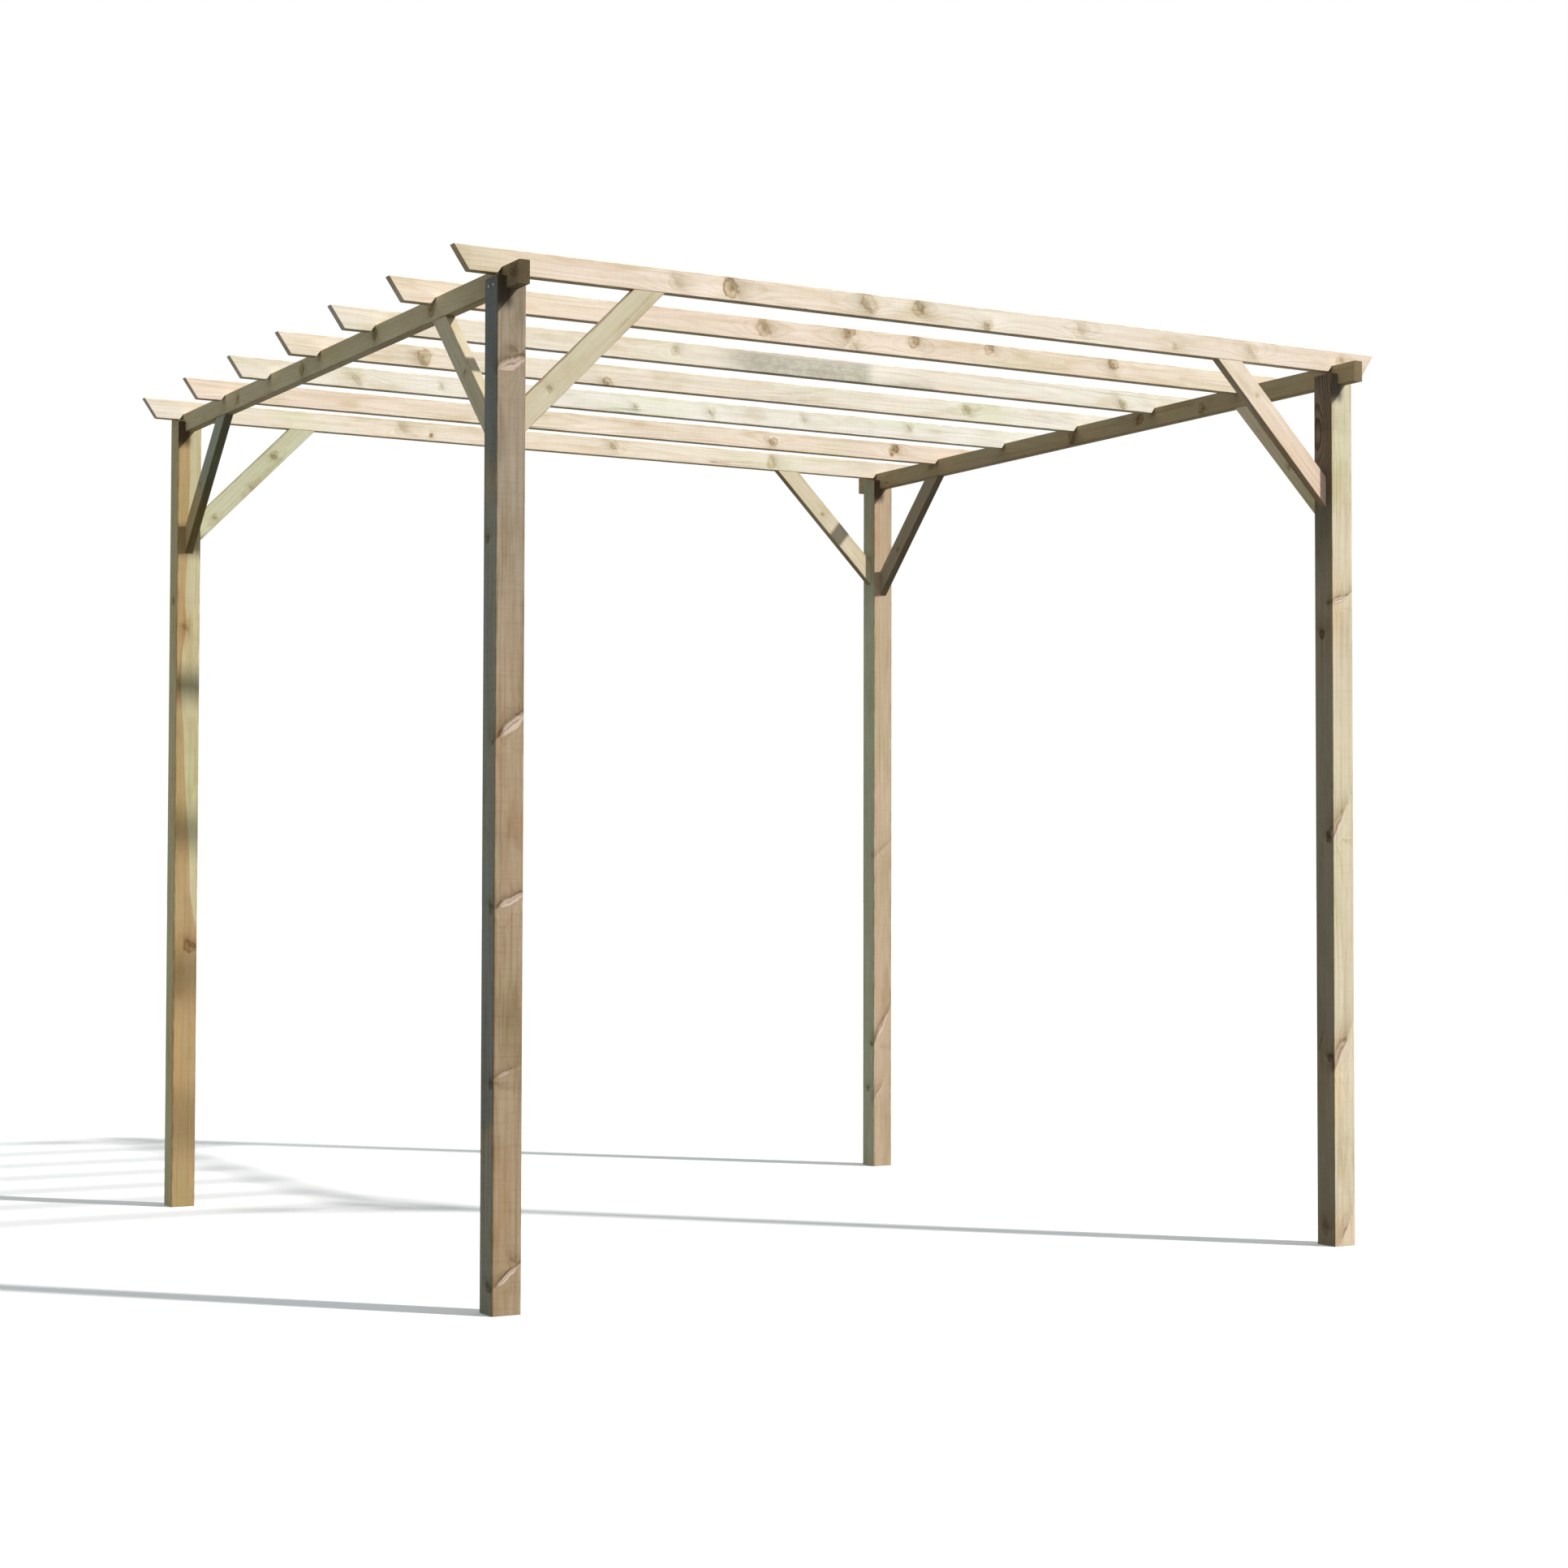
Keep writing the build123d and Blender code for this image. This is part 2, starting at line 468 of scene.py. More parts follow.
def heartwood(g, given, seeded, radius):
    """Sapwood, and heartwood inside its own radius."""
    wavy = g.math("ADD", radius, g.centred(g.noise(seeded, "heart_edge"), HEART_WAVER))
    heart = g.ramp(g.math("SUBTRACT", wavy, given["Heart Radius"]), "heart_edge")
    colour = g.mix(heart, given["Tone Colour"], given["Heart Colour"])
    return g.tint(1.0, colour, "balance")


def weathering(g, given, colour, layers):
    """Broad clouds of rosy, greenish and greyish tint, growth lines, then streaks along the grain, and last
    the painted shadow at a post's fork.
    """
    weather, contrast = given["Weather"], given["Contrast"]
    colour = g.mark("green_cloud", layers["cloud"], colour)
    colour = g.mark("rosy_cloud", layers["cloud"], colour)
    colour = g.mark("pale_bloom", layers["bloom"], colour)
    colour = g.mark("dark_bloom", layers["bloom"], colour)
    colour = g.mark("stain", layers["stain"], colour, weather)
    colour = g.tint(g.times(layers["late"], contrast), colour, "growth_line")
    beyond = g.math("MAXIMUM", g.math("SUBTRACT", contrast, 1.0), 0.0)
    colour = g.tint(g.times(layers["late"], beyond), colour, "deep_line")
    colour = g.mark("streak", layers["streak"], colour, g.line(weather, 0.75, 0.20))
    colour = g.mark("fibre", layers["fibre"], colour, g.line(weather, 0.35, 0.30))
    colour = g.mark("ripple", layers["ripple"], colour, weather)
    # Painted shadow at a post's fork: the beam stub's shadow on the front, made darker
    return g.tint(given["Painted Fork Shadow"], colour, "painted_fork_shadow")


def drying_cracks(g, given, seeded):
    """Thin lines along the grain, in patches."""
    off_line = g.math("ABSOLUTE", g.math("SUBTRACT", g.noise(seeded, "crack_line"), 0.5))
    patch = g.ramp(g.noise(seeded, "crack_patch"), "crack_patch")
    return g.times(g.ramp(off_line, "crack_line"), patch, given["Wear"])


def arrises(g, given, colour, chips):
    """Long edges: browned in places and rubbed pale in others."""
    gaps = g.vector("SUBTRACT", given["Half Size"], g.vector("ABSOLUTE", given["Point"]))
    gap_x, gap_y, _ = g.split(gaps)
    edge = g.times(g.step(gap_x, given["Arris"], 0.0), g.step(gap_y, given["Arris"], 0.0))
    colour = g.mark("brown_arris", chips, colour, edge)
    return g.mark("pale_arris", chips, colour, edge)


def build_wood(g, given):
    seeded = g.vector("ADD", given["Point"], g.vector("SCALE", SEED_SHIFT, given["Seed"]))
    names = ("cloud", "bloom", "stain", "streak", "fibre", "ripple", "chips")
    layers = {name: g.noise(seeded, name) for name in names}
    radius, layers["late"] = growth_rings(g, given, seeded)
    colour = heartwood(g, given, seeded, radius)
    colour = weathering(g, given, colour, layers)
    colour, layers["body"], layers["rim"] = knot_look(g, given, colour, seeded)
    layers["crack"] = drying_cracks(g, given, seeded)
    colour = g.tint(layers["crack"], colour, "crack")

    # Faces that look down are painted darker and greener: partly a damp film, mostly painted shade under
    # the boards
    colour = g.mark("damp_film_and_shade", layers["stain"], colour, given["Under"])

    # Cut ends drink in the treatment: darker, with no long fibres
    ends = g.tint(layers["late"], (*TINTS["end_grain"], 1.0), "end_line")
    colour = g.mix(given["End"], colour, g.mix(1.0, colour, ends, "MULTIPLY"))
    colour = arrises(g, given, colour, layers["chips"])

    # The saw leaves faint ridges across the face
    _, _, along = g.split(given["Point"])
    layers["saw"] = g.math("SINE", g.line(along, SAW_RATE, g.times(layers["fibre"], SAW_WAVER)))
    roughness = g.line(given["End"], 0.10, g.line(layers["fibre"], 0.20, 0.66))
    height = 0.0
    for name, share in RELIEF.items():
        height = g.line(layers[name], share, height)
    return colour, roughness, height


KNOT_GROUP = make_group("knot", KNOT_INPUTS, KNOT_OUTPUTS, build_knot)
WOOD_GROUP = make_group("sawn_softwood", WOOD_INPUTS, WOOD_OUTPUTS, build_wood)

FAR = 50.0               # knot radii: farther than any knot is felt
BUMP_DEPTH = 0.0007      # metres of relief
LEFT = (-1.0, 0.0, 0.0)
FRONT = (0.0, -1.0, 0.0)
UP = (0.0, 0.0, 1.0)
KNOT_DEPTH = 0.05        # metres that a knot goes into the board from its front
LEFT_KNOT_DEPTH = 0.022  # and from a post's left side, so that it isn't felt on the right half of the front
KNOT_TURN = 2.4          # radians between one knot and the next, so that they lean to both sides
KNOT_LEAN = Vector((0.6, 0.0, 0.8))
KNOT_SWING = 0.28        # how far a knot points sideways and up, where it points out of the face by 1
KNOT_RISE = 0.22
LEFT_KNOT_WAY = (-1.0, 0.1, 0.35)
KNOT_WAVER = (0.011, 0.011, 0.020)   # metres that a knot's shape wavers over, both ways across and along
LEFT_CONTRAST = 1.8      # added to a post's growth lines on its left face, where it has such a stretch
RUFFLE = 0.10            # share of the board's length that the tones' edges waver over
GREY_START = 0.07        # shares of the length that a grey patch fades in and out over
GREY_STOP = 0.015
GREY_BOTTOM = 0.004      # metres that it fades in and out over, across the board
GREY_TOP = 0.020
GREY_WAVER = 0.04
BUMP_STRENGTH = 0.8
SPECULAR = 0.25


def all_knots(board):
    """The board's knots as (centre, direction, lean, half length, radius, tone) in its own coordinates."""
    half_x, half_y = board["half"]
    found = []
    for number, (along, across, radius, tone) in enumerate(board.get("knots", [])):
        swing = math.sin(KNOT_TURN * number + board["seed"])
        lean = KNOT_LEAN if swing > 0 else -KNOT_LEAN
        direction = (KNOT_SWING * swing, -1.0, KNOT_RISE)
        found.append(((across, -half_y, along), direction, lean, KNOT_DEPTH, radius, tone))
    for along, depth, radius, tone in board.get("left_knots", []):
        found.append(((-half_x, depth, along), LEFT_KNOT_WAY, UP, LEFT_KNOT_DEPTH, radius, tone))
    for along, across, direction, half_length, radius, tone in board.get("spikes", []):
        found.append(((across, -half_y, along), direction, UP, half_length, radius, tone))
    return found


def colour_ramp(g, stops, along):
    """A colour along the board, from (share of the length, linear colour) pairs."""
    ramp = g.add("ShaderNodeValToRGB", {0: along})
    elements = ramp.color_ramp.elements
    while len(elements) < len(stops):
        elements.new(0.5)
    while len(elements) > len(stops):
        elements.remove(elements[-1])
    for element, (place, colour) in zip(elements, stops):
        element.position = place
        element.color = colour
    return ramp.outputs[0]


def tone_ramp(g, tones, along):
    """Palette tones along the board: one name, or (share of the length, name) pairs."""
    if isinstance(tones, str):
        return linear(PALETTE[tones])
    return colour_ramp(g, [(place, linear(PALETTE[name])) for place, name in tones], along)


def value_ramp(g, stops, along):
    """A length in metres along the board, from (share of the length, tenths of a metre) pairs."""
    colour = colour_ramp(g, [(place, (value, value, value, 1.0)) for place, value in stops], along)
    grey = g.add("ShaderNodeSeparateColor", {0: colour}).outputs[0]
    return g.times(grey, 0.1)


def board_colours(g, board, normal, seeded, along):
    """Sapwood and heartwood colours. A post's left face has tones of its own, darker and cooler than its
    front: partly the wood's own tone, partly painted shade with a cool sky tint on the side away from the
    sun.
    """
    ruffled = g.math("ADD", along, g.centred(g.noise(seeded, "ruffle"), RUFFLE))
    tone_colour = tone_ramp(g, board["tones"], ruffled)
    heart_colour = linear(PALETTE[board.get("heart_tone", "khaki_tan")])
    if "left_shade_tones" not in board:
        return tone_colour, heart_colour
    # Painted shade: the left face, away from the sun, takes the darker, cooler left tones
    on_left = g.ramp(g.dot(normal, LEFT), "facing_there")
    left_colour = tone_ramp(g, board["left_shade_tones"], ruffled)
    return g.mix(on_left, tone_colour, left_colour), g.mix(on_left, heart_colour, left_colour)


def grey_patches(g, board, colour, point, seeded, along):
    """Weathered patches, from (start, stop, bottom, top): shares of the length, then metres across."""
    for start, stop, bottom, top in board.get("grey", []):
        x, _, _ = g.split(point)
        worn = g.noise(seeded, "worn")
        height = g.math("ADD", x, g.centred(worn, GREY_WAVER))
        inside = g.times(g.step(along, start, start + GREY_START), g.step(along, stop, stop - GREY_STOP))
        band = g.times(g.step(height, bottom, bottom + GREY_BOTTOM), g.step(height, top, top - GREY_TOP))
        share = g.times(inside, band, g.ramp(worn, "worn_grey"))
        colour = g.mix(share, colour, linear(PALETTE["silver"]))
    return colour


def line_contrast(g, board, normal, along):
    """How strong the growth lines are. A post's left face can have a stretch with stronger ones."""
    contrast = board.get("contrast", 0.55)
    if "left_contrast" not in board:
        return contrast
    extra = g.step(along, *board["left_contrast"], 0.0, LEFT_CONTRAST)
    return g.line(extra, g.ramp(g.dot(normal, LEFT), "facing_there"), contrast)


def painted_fork_shadow_share(g, board, point, normal, along):
    """Painted shadow on the front of a post's top, towards its left arris, where the beam stub's shadow
    falls.
    """
    if "painted_fork_shadow" not in board:
        return 0.0
    x, _, _ = g.split(point)
    on_front = g.ramp(g.dot(normal, FRONT), "facing_there")
    return g.times(g.step(along, *board["painted_fork_shadow"]), g.ramp(x, "fork_shadow_side"), on_front)


def felt_knots(g, board, point, own_normal, seeded):
    """What the board's knots give at a point, in the order of KNOT_OUTPUTS."""
    waver = g.vector("SUBTRACT", g.noise(seeded, "knot_waver", colour=True), NOISE_MIDDLE)
    knot_point = g.vector("ADD", point, g.vector("MULTIPLY", waver, KNOT_WAVER))
    felt = [FAR, 0.0, 0.0, 0.0, 0.0]
    for centre, direction, lean, half_length, radius, knot_tone in all_knots(board):
        values = {"Point": knot_point, "Normal": own_normal, "Centre": centre,
                  "Direction": Vector(direction).normalized(), "Lean": lean,
                  "Half Length": half_length, "Radius": radius, "Tone": knot_tone}
        knot = g.add("ShaderNodeGroup", {**values, **dict(zip(KNOT_CHAIN, felt))}, node_tree=KNOT_GROUP)
        felt = list(knot.outputs)
    return felt


def board_material(name, board):
    """Timber for one board. Its own x and y lie across the grain and z runs along it, in metres."""
    material = bpy.data.materials.new("timber_" + name)
    g = empty_graph(material)
    texture = g.add("ShaderNodeTexCoord")
    normal = texture.outputs["Normal"]
    offset = g.vector("SUBTRACT", texture.outputs["Object"], board["origin"])
    axes = [Vector(board[way]) for way in ("across", "depth", "along")]
    point = g.join(*(g.dot(offset, axis) for axis in axes))
    own_normal = g.join(*(g.dot(normal, axis) for axis in axes))
    seeded = g.vector("ADD", point, (board["seed"], 0.0, 0.0))
    along = g.dot(point, (0.0, 0.0, 1.0 / board["length"]))

    tone_colour, heart_colour = board_colours(g, board, normal, seeded, along)
    felt = felt_knots(g, board, point, own_normal, seeded)
    values = {"Point": point, "Seed": board["seed"], "Pith": (*board["pith"], 0.0),
              "Spacing": board.get("spacing", 0.0035), "Half Size": (*board["half"], 1.0),
              "Tone Colour": grey_patches(g, board, tone_colour, point, seeded, along),
              "Heart Colour": heart_colour,
              "Heart Radius": value_ramp(g, board.get("heart", [(0.0, 0.0)]), along),
              "Contrast": line_contrast(g, board, normal, along),
              "Painted Fork Shadow": painted_fork_shadow_share(g, board, point, normal, along),
              "End": g.ramp(g.math("ABSOLUTE", g.dot(normal, axes[2])), "cut_end"),
              "Under": g.ramp(g.split(normal)[2], "facing_down"),
              "Arris": board.get("arris", EDGE_BAND), "Knot Fill": board.get("knot_fill", 0.30),
              "Wear": board.get("wear", 0.7), "Weather": board.get("weather", 0.35)}
    for (label, _), value in zip(KNOT_OUTPUTS, felt):
        values["Knot " + label] = value
    wood = g.add("ShaderNodeGroup", node_tree=WOOD_GROUP)
    for key, value in values.items():
        g.feed(wood.inputs[key], value)
    bump = g.add("ShaderNodeBump", {"Height": wood.outputs["Height"], "Distance": BUMP_DEPTH,
                                    "Strength": BUMP_STRENGTH})
    shader = g.add("ShaderNodeBsdfPrincipled", {
        "Base Color": wood.outputs["Color"], "Roughness": wood.outputs["Roughness"],
        "Specular IOR Level": SPECULAR, "Normal": bump.outputs[0]})
    g.add("ShaderNodeOutputMaterial", {"Surface": shader.outputs[0]})
    return material


# The boards: place, colour and knots, in metres from each board's own start

RIGHT, BACK = (1.0, 0.0, 0.0), (0.0, 1.0, 0.0)
POST_HALF = (0.035, 0.035)
RAFTER_HALF = (0.028, 0.0125)
BEAM_HALF = (0.027, 0.0135)
BRACE_HALF = (0.0283, 0.012)
STEEP = (0.45, -0.10, 0.88)          # branches that climb across the front of a post from its left arris
SLOPING = (0.75, -0.12, 0.65)
FLAT = (0.90, -0.08, 0.42)
FORK_SHADOW_SPAN = (0.962, 0.977)          # share of a post's length where its front is painted darker, as painted shadow of the beam stub


def middle(node):
    low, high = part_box(node)
    return (low + high) / 2


def post(node):
    centre = middle(node)
    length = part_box(node)[1].z
    return dict(origin=(centre.x, centre.y, 0.0), across=RIGHT, depth=BACK, along=UP, half=POST_HALF,
                length=length)


def rafter(node):
    centre = middle(node)
    low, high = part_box(node)
    return dict(origin=(low.x, centre.y, centre.z), across=UP, depth=BACK, along=RIGHT, half=RAFTER_HALF,
                length=high.x - low.x)


def beam(node):
    centre = middle(node)
    low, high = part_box(node)
    return dict(origin=(centre.x, low.y, centre.z), across=UP, depth=RIGHT, along=BACK, half=BEAM_HALF,
                length=high.y - low.y)


def brace(node):
    """A brace's length starts at its foot, on the post. Its box is centred on its outer edge, because its
    mitred ends reach out to that edge, so its own middle line lies half a width inwards."""
    low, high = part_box(node)
    centre = (low + high) / 2
    if high.x - low.x > high.y - low.y:
        run, depth = Vector((-1.0 if centre.x > 0 else 1.0, 0.0, 0.0)), Vector(BACK)
    else:
        run, depth = Vector((0.0, -1.0 if centre.y > 0 else 1.0, 0.0)), Vector(RIGHT)
    along = (run + Vector(UP)).normalized()
    across = (Vector(UP) - run).normalized()
    length = (high.z - low.z) * math.sqrt(2) - 2 * BRACE_HALF[0]
    foot = centre + across * BRACE_HALF[0] - along * length / 2
    return dict(origin=foot, across=across, depth=depth, along=along, half=BRACE_HALF, length=length)


POSTS = {
    "post_front_left": dict(
        seed=1.0, pith=(-0.012, 0.052), spacing=0.0042, contrast=0.40,
        tones=[(0.0, "grey_tan"), (0.55, "grey_tan"), (0.78, "grey_pink"), (1.0, "grey_pink")],
        left_shade_tones=[(0.0, "slate_wood"), (0.13, "slate_wood"), (0.16, "slate_brown"),
                    (0.18, "slate_dark"), (0.45, "slate_wood"), (0.78, "slate_wood"),
                    (0.81, "slate_brown"), (0.84, "slate_dark"), (0.95, "slate_deep")],
        wear=1.0, weather=1.0, arris=0.007, painted_fork_shadow=FORK_SHADOW_SPAN, knot_fill=0.9,
        spikes=[(0.088, 0.005, SLOPING, 0.055, 0.007, 0.75), (0.530, -0.012, FLAT, 0.022, 0.006, 0.3),
                (0.912, 0.008, FLAT, 0.045, 0.011, 0.6), (1.302, 0.010, SLOPING, 0.050, 0.014, 0.7),
                (2.105, 0.0, FLAT, 0.045, 0.016, 0.5)],
        knots=[(0.118, 0.012, 0.012, 0.10), (2.142, 0.008, 0.013, 0.12)],
        left_knots=[(0.060, -0.012, 0.010, 0.6), (0.505, -0.020, 0.010, 0.7), (0.895, -0.018, 0.011, 0.7),
                    (1.262, -0.022, 0.005, 0.8), (1.720, 0.010, 0.010, 0.6)]),
    "post_front_right": dict(
        seed=2.0, pith=(0.012, 0.030), spacing=0.0052, contrast=0.25,
        tones=[(0.0, "rosy_straw"), (0.02, "rosy_straw"), (0.06, "straw"), (0.8, "straw"),
               (1.0, "straw_light")],
        left_shade_tones=[(0.0, "brown_grey"), (0.75, "brown_grey"), (0.86, "umber"), (0.93, "umber_light")],
        left_contrast=(0.85, 0.93), painted_fork_shadow=FORK_SHADOW_SPAN, weather=0.45, knot_fill=0.9,
        spikes=[(0.505, -0.010, STEEP, 0.045, 0.020, 0.6), (1.103, -0.015, STEEP, 0.045, 0.016, 0.6),
                (1.700, -0.012, FLAT, 0.035, 0.009, 0.6), (0.040, 0.002, STEEP, 0.026, 0.014, 0.15)],
        left_knots=[(0.045, 0.0, 0.016, 0.3), (0.492, -0.022, 0.013, 0.8), (1.072, -0.020, 0.012, 0.8),
                    (1.615, 0.005, 0.011, 0.8), (1.690, -0.020, 0.006, 0.6), (2.150, 0.004, 0.030, 0.0)]),
    "post_back_left": dict(
        seed=3.0, pith=(-0.045, -0.010), spacing=0.0036, contrast=0.50,
        tones="pale_khaki", left_shade_tones=[(0.0, "olive_straw"), (0.6, "olive_straw"), (1.0, "olive_brown")],
        heart=[(0.0, 0.95), (0.27, 0.90), (0.40, 0.62), (0.56, 0.55), (0.66, 0.42), (0.82, 0.46),
               (1.0, 0.50)],
        heart_tone="orange_tan", arris=0.010, painted_fork_shadow=FORK_SHADOW_SPAN, knot_fill=0.6,
        knots=[(0.760, 0.012, 0.018, 0.5), (1.700, -0.004, 0.016, 0.2)],
        left_knots=[(1.770, 0.0, 0.011, 0.5)]),
    "post_back_right": dict(
        seed=4.0, pith=(0.010, 0.048), spacing=0.0040, contrast=0.30,
        tones="pink_tan", left_shade_tones=[(0.0, "pale_green"), (0.75, "pale_green"), (0.92, "green_grey"),
                                      (1.0, "green_grey")],
        arris=0.012, painted_fork_shadow=FORK_SHADOW_SPAN, knot_fill=0.8,
        spikes=[(0.462, -0.004, (0.45, -0.05, 0.89), 0.066, 0.010, 0.75),
                (0.245, -0.018, STEEP, 0.030, 0.007, 0.1), (1.060, 0.0, SLOPING, 0.030, 0.006, 0.1)],
        left_knots=[(0.258, 0.002, 0.008, 0.5), (0.405, -0.020, 0.007, 0.6)]),
}

BEAMS = {
    "beam_left": dict(
        seed=5.0, pith=(-0.030, 0.050), contrast=0.6,
        tones=[(0.0, "umber_green"), (0.03, "umber_green"), (0.06, "beam_brown"), (0.15, "beam_straw"),
               (0.9, "beam_straw"), (1.0, "beam_brown")],
        knots=[(0.030, 0.010, 0.014, 0.7), (0.50, 0.002, 0.013, 0.6), (0.865, 0.006, 0.014, 0.7),
               (1.385, 0.002, 0.016, 0.7), (1.90, -0.006, 0.012, 0.6)]),
    "beam_right": dict(
        seed=6.0, pith=(0.020, 0.060), contrast=0.6,
        tones="beam_brown",
        knots=[(0.64, -0.006, 0.013, 0.6), (0.93, 0.004, 0.014, 0.7), (1.27, -0.008, 0.014, 0.7),
               (2.05, 0.010, 0.012, 0.6)]),
}

RAFTERS = {
    "rafter_1": dict(
        seed=7.0, pith=(0.015, 0.070), contrast=0.32,
        tones=[(0.0, "straw"), (0.12, "rosy_cream"), (0.5, "cream"), (1.0, "rosy_cream")],
        knots=[(0.550, -0.004, 0.018, 0.10), (0.700, 0.0, 0.021, 0.65), (1.075, 0.006, 0.022, 0.45),
               (1.215, 0.004, 0.018, 0.6), (1.420, -0.012, 0.014, 0.5), (1.690, 0.0, 0.016, 0.10),
               (1.990, -0.014, 0.007, 0.15), (2.250, 0.004, 0.018, 0.05), (2.545, 0.004, 0.011, 0.2)]),
    "rafter_2": dict(
        seed=8.0, pith=(0.0, 0.060), contrast=0.38,
        tones=[(0.0, "warm_cream"), (0.3, "rosy_cream"), (1.0, "warm_cream")],
        knots=[(1.000, 0.0, 0.019, 0.55), (1.250, 0.020, 0.018, 0.6), (1.445, 0.010, 0.016, 0.5),
               (1.680, 0.016, 0.015, 0.5), (2.085, 0.016, 0.016, 0.55), (1.265, -0.018, 0.012, 0.2)]),
    "rafter_3": dict(
        seed=9.0, pith=(-0.010, 0.075), contrast=0.25,
        tones=[(0.0, "cream"), (0.4, "cream"), (1.0, "white_cream")],
        grey=[(0.385, 0.590, -0.050, 0.036), (0.56, 0.67, -0.050, -0.010)],
        knots=[(0.950, 0.005, 0.012, 0.25), (2.405, -0.010, 0.012, 0.4)]),
    "rafter_4": dict(
        seed=10.0, pith=(0.020, 0.055), contrast=0.32,
        tones=[(0.0, "warm_cream"), (0.5, "cream"), (1.0, "white_cream")],
        knots=[(0.400, -0.002, 0.021, 0.6), (0.945, -0.022, 0.014, 0.5), (2.115, 0.002, 0.014, 0.3)]),
    "rafter_5": dict(
        seed=11.0, pith=(-0.020, 0.070), contrast=0.22,
        tones=[(0.0, "cream"), (0.4, "white_cream"), (1.0, "white_cream")],
        knots=[(0.370, 0.0, 0.016, 0.10), (0.610, -0.004, 0.008, 0.25), (1.220, -0.004, 0.009, 0.30),
               (1.475, -0.002, 0.012, 0.28), (1.780, 0.0, 0.012, 0.1), (2.165, 0.010, 0.011, 0.25)]),
    "rafter_6": dict(
        seed=12.0, pith=(0.005, 0.050), contrast=0.42,
        tones=[(0.0, "rosy_cream"), (0.4, "warm_cream"), (1.0, "rosy_cream")],
        knots=[(1.900, -0.003, 0.0125, 0.5), (2.345, 0.004, 0.014, 0.75)]),
    "rafter_7": dict(
        seed=13.0, pith=(-0.015, 0.060), contrast=0.32,
        tones=[(0.0, "cream"), (0.5, "warm_cream"), (1.0, "cream")],
        knots=[(0.800, 0.0, 0.016, 0.15), (0.900, -0.012, 0.005, 0.9), (1.530, 0.008, 0.014, 0.35),
               (2.110, -0.002, 0.017, 0.35)]),
}

BRACES = {
    "rafter_brace_front_left": dict(
        seed=14.0, pith=(0.0, 0.045), contrast=0.25,
        tones="brace_olive", knots=[(0.098, 0.002, 0.007, 0.4)]),
    "rafter_brace_front_right": dict(
        seed=15.0, pith=(0.010, 0.050), contrast=0.18,
        tones=[(0.0, "brace_rose"), (1.0, "warm_cream")], knots=[(0.330, 0.0, 0.006, 0.2)]),
    "rafter_brace_back_left": dict(
        seed=16.0, pith=(-0.010, 0.050), contrast=0.30,
        tones="brace_lime",
        knots=[(0.065, -0.008, 0.008, 0.35), (0.335, 0.004, 0.011, 0.45), (0.205, -0.020, 0.008, 0.2)]),
    "rafter_brace_back_right": dict(
        seed=17.0, pith=(0.0, 0.060), contrast=0.20,
        tones="straw", knots=[(0.270, 0.0, 0.005, 0.4)]),
    "beam_brace_front_left": dict(
        seed=18.0, pith=(0.0, 0.050), contrast=0.45,
        tones="brace_olive", knots=[(0.240, 0.006, 0.007, 0.45)]),
    "beam_brace_front_right": dict(
        seed=19.0, pith=(0.010, 0.055), contrast=0.45,
        tones=[(0.0, "beam_straw"), (1.0, "straw")], knots=[(0.180, -0.004, 0.007, 0.45)]),
    "beam_brace_back_left": dict(
        seed=20.0, pith=(-0.010, 0.045), contrast=0.45,
        tones=[(0.0, "khaki_tan"), (0.30, "khaki_tan"), (0.55, "brace_grey"), (1.0, "brace_grey")],
        knots=[(0.200, 0.004, 0.007, 0.45)]),
    "beam_brace_back_right": dict(
        seed=21.0, pith=(0.0, 0.050), contrast=0.45,
        tones="brace_umber", knots=[(0.150, -0.006, 0.007, 0.45)]),
}

BOARDS = {}
for place, looks in ((post, POSTS), (beam, BEAMS), (rafter, RAFTERS), (brace, BRACES)):
    for board_name, look in looks.items():
        BOARDS[board_name] = {**place(board_name), **look}


def dress_boards():
    for name, board in BOARDS.items():
        mesh = NODES[name].data
        mesh.materials.clear()
        mesh.materials.append(board_material(name, board))


# Screw heads, on the sides where the boards are fixed together

HEAD_RADIUS = 0.0036
HEAD_HEIGHT = 0.0020
CROSS_HALF_WIDTH = 0.0005
CROSS_REACH = 0.0021
CROSS_DEPTH = 0.0014
CROSS_TAPER = 0.7
TURNS = 48
ZINC_BUMP_DEPTH = 0.00005
HEAD_PROFILE = [(1.0, 0.0), (1.0, 0.35), (0.93, 0.70), (0.78, 0.93), (0.66, 1.0)]   # radius, height


def cross_radius(angle):
    """How far a cross-shaped recess reaches in that direction."""
    quarter = (angle + math.pi / 4) % (math.pi / 2) - math.pi / 4
    if abs(quarter) < math.atan2(CROSS_HALF_WIDTH, CROSS_REACH):
        return CROSS_REACH / math.cos(quarter)
    return CROSS_HALF_WIDTH / abs(math.sin(quarter))


def head_rings():
    """Rings of (radius for an angle, height) from the rim on the timber to the floor of the recess."""
    def circle(share):
        return lambda angle: HEAD_RADIUS * share
    dome = [(circle(share), up * HEAD_HEIGHT) for share, up in HEAD_PROFILE]
    return [*dome, (cross_radius, HEAD_HEIGHT),
            (lambda angle: CROSS_TAPER * cross_radius(angle), HEAD_HEIGHT - CROSS_DEPTH)]


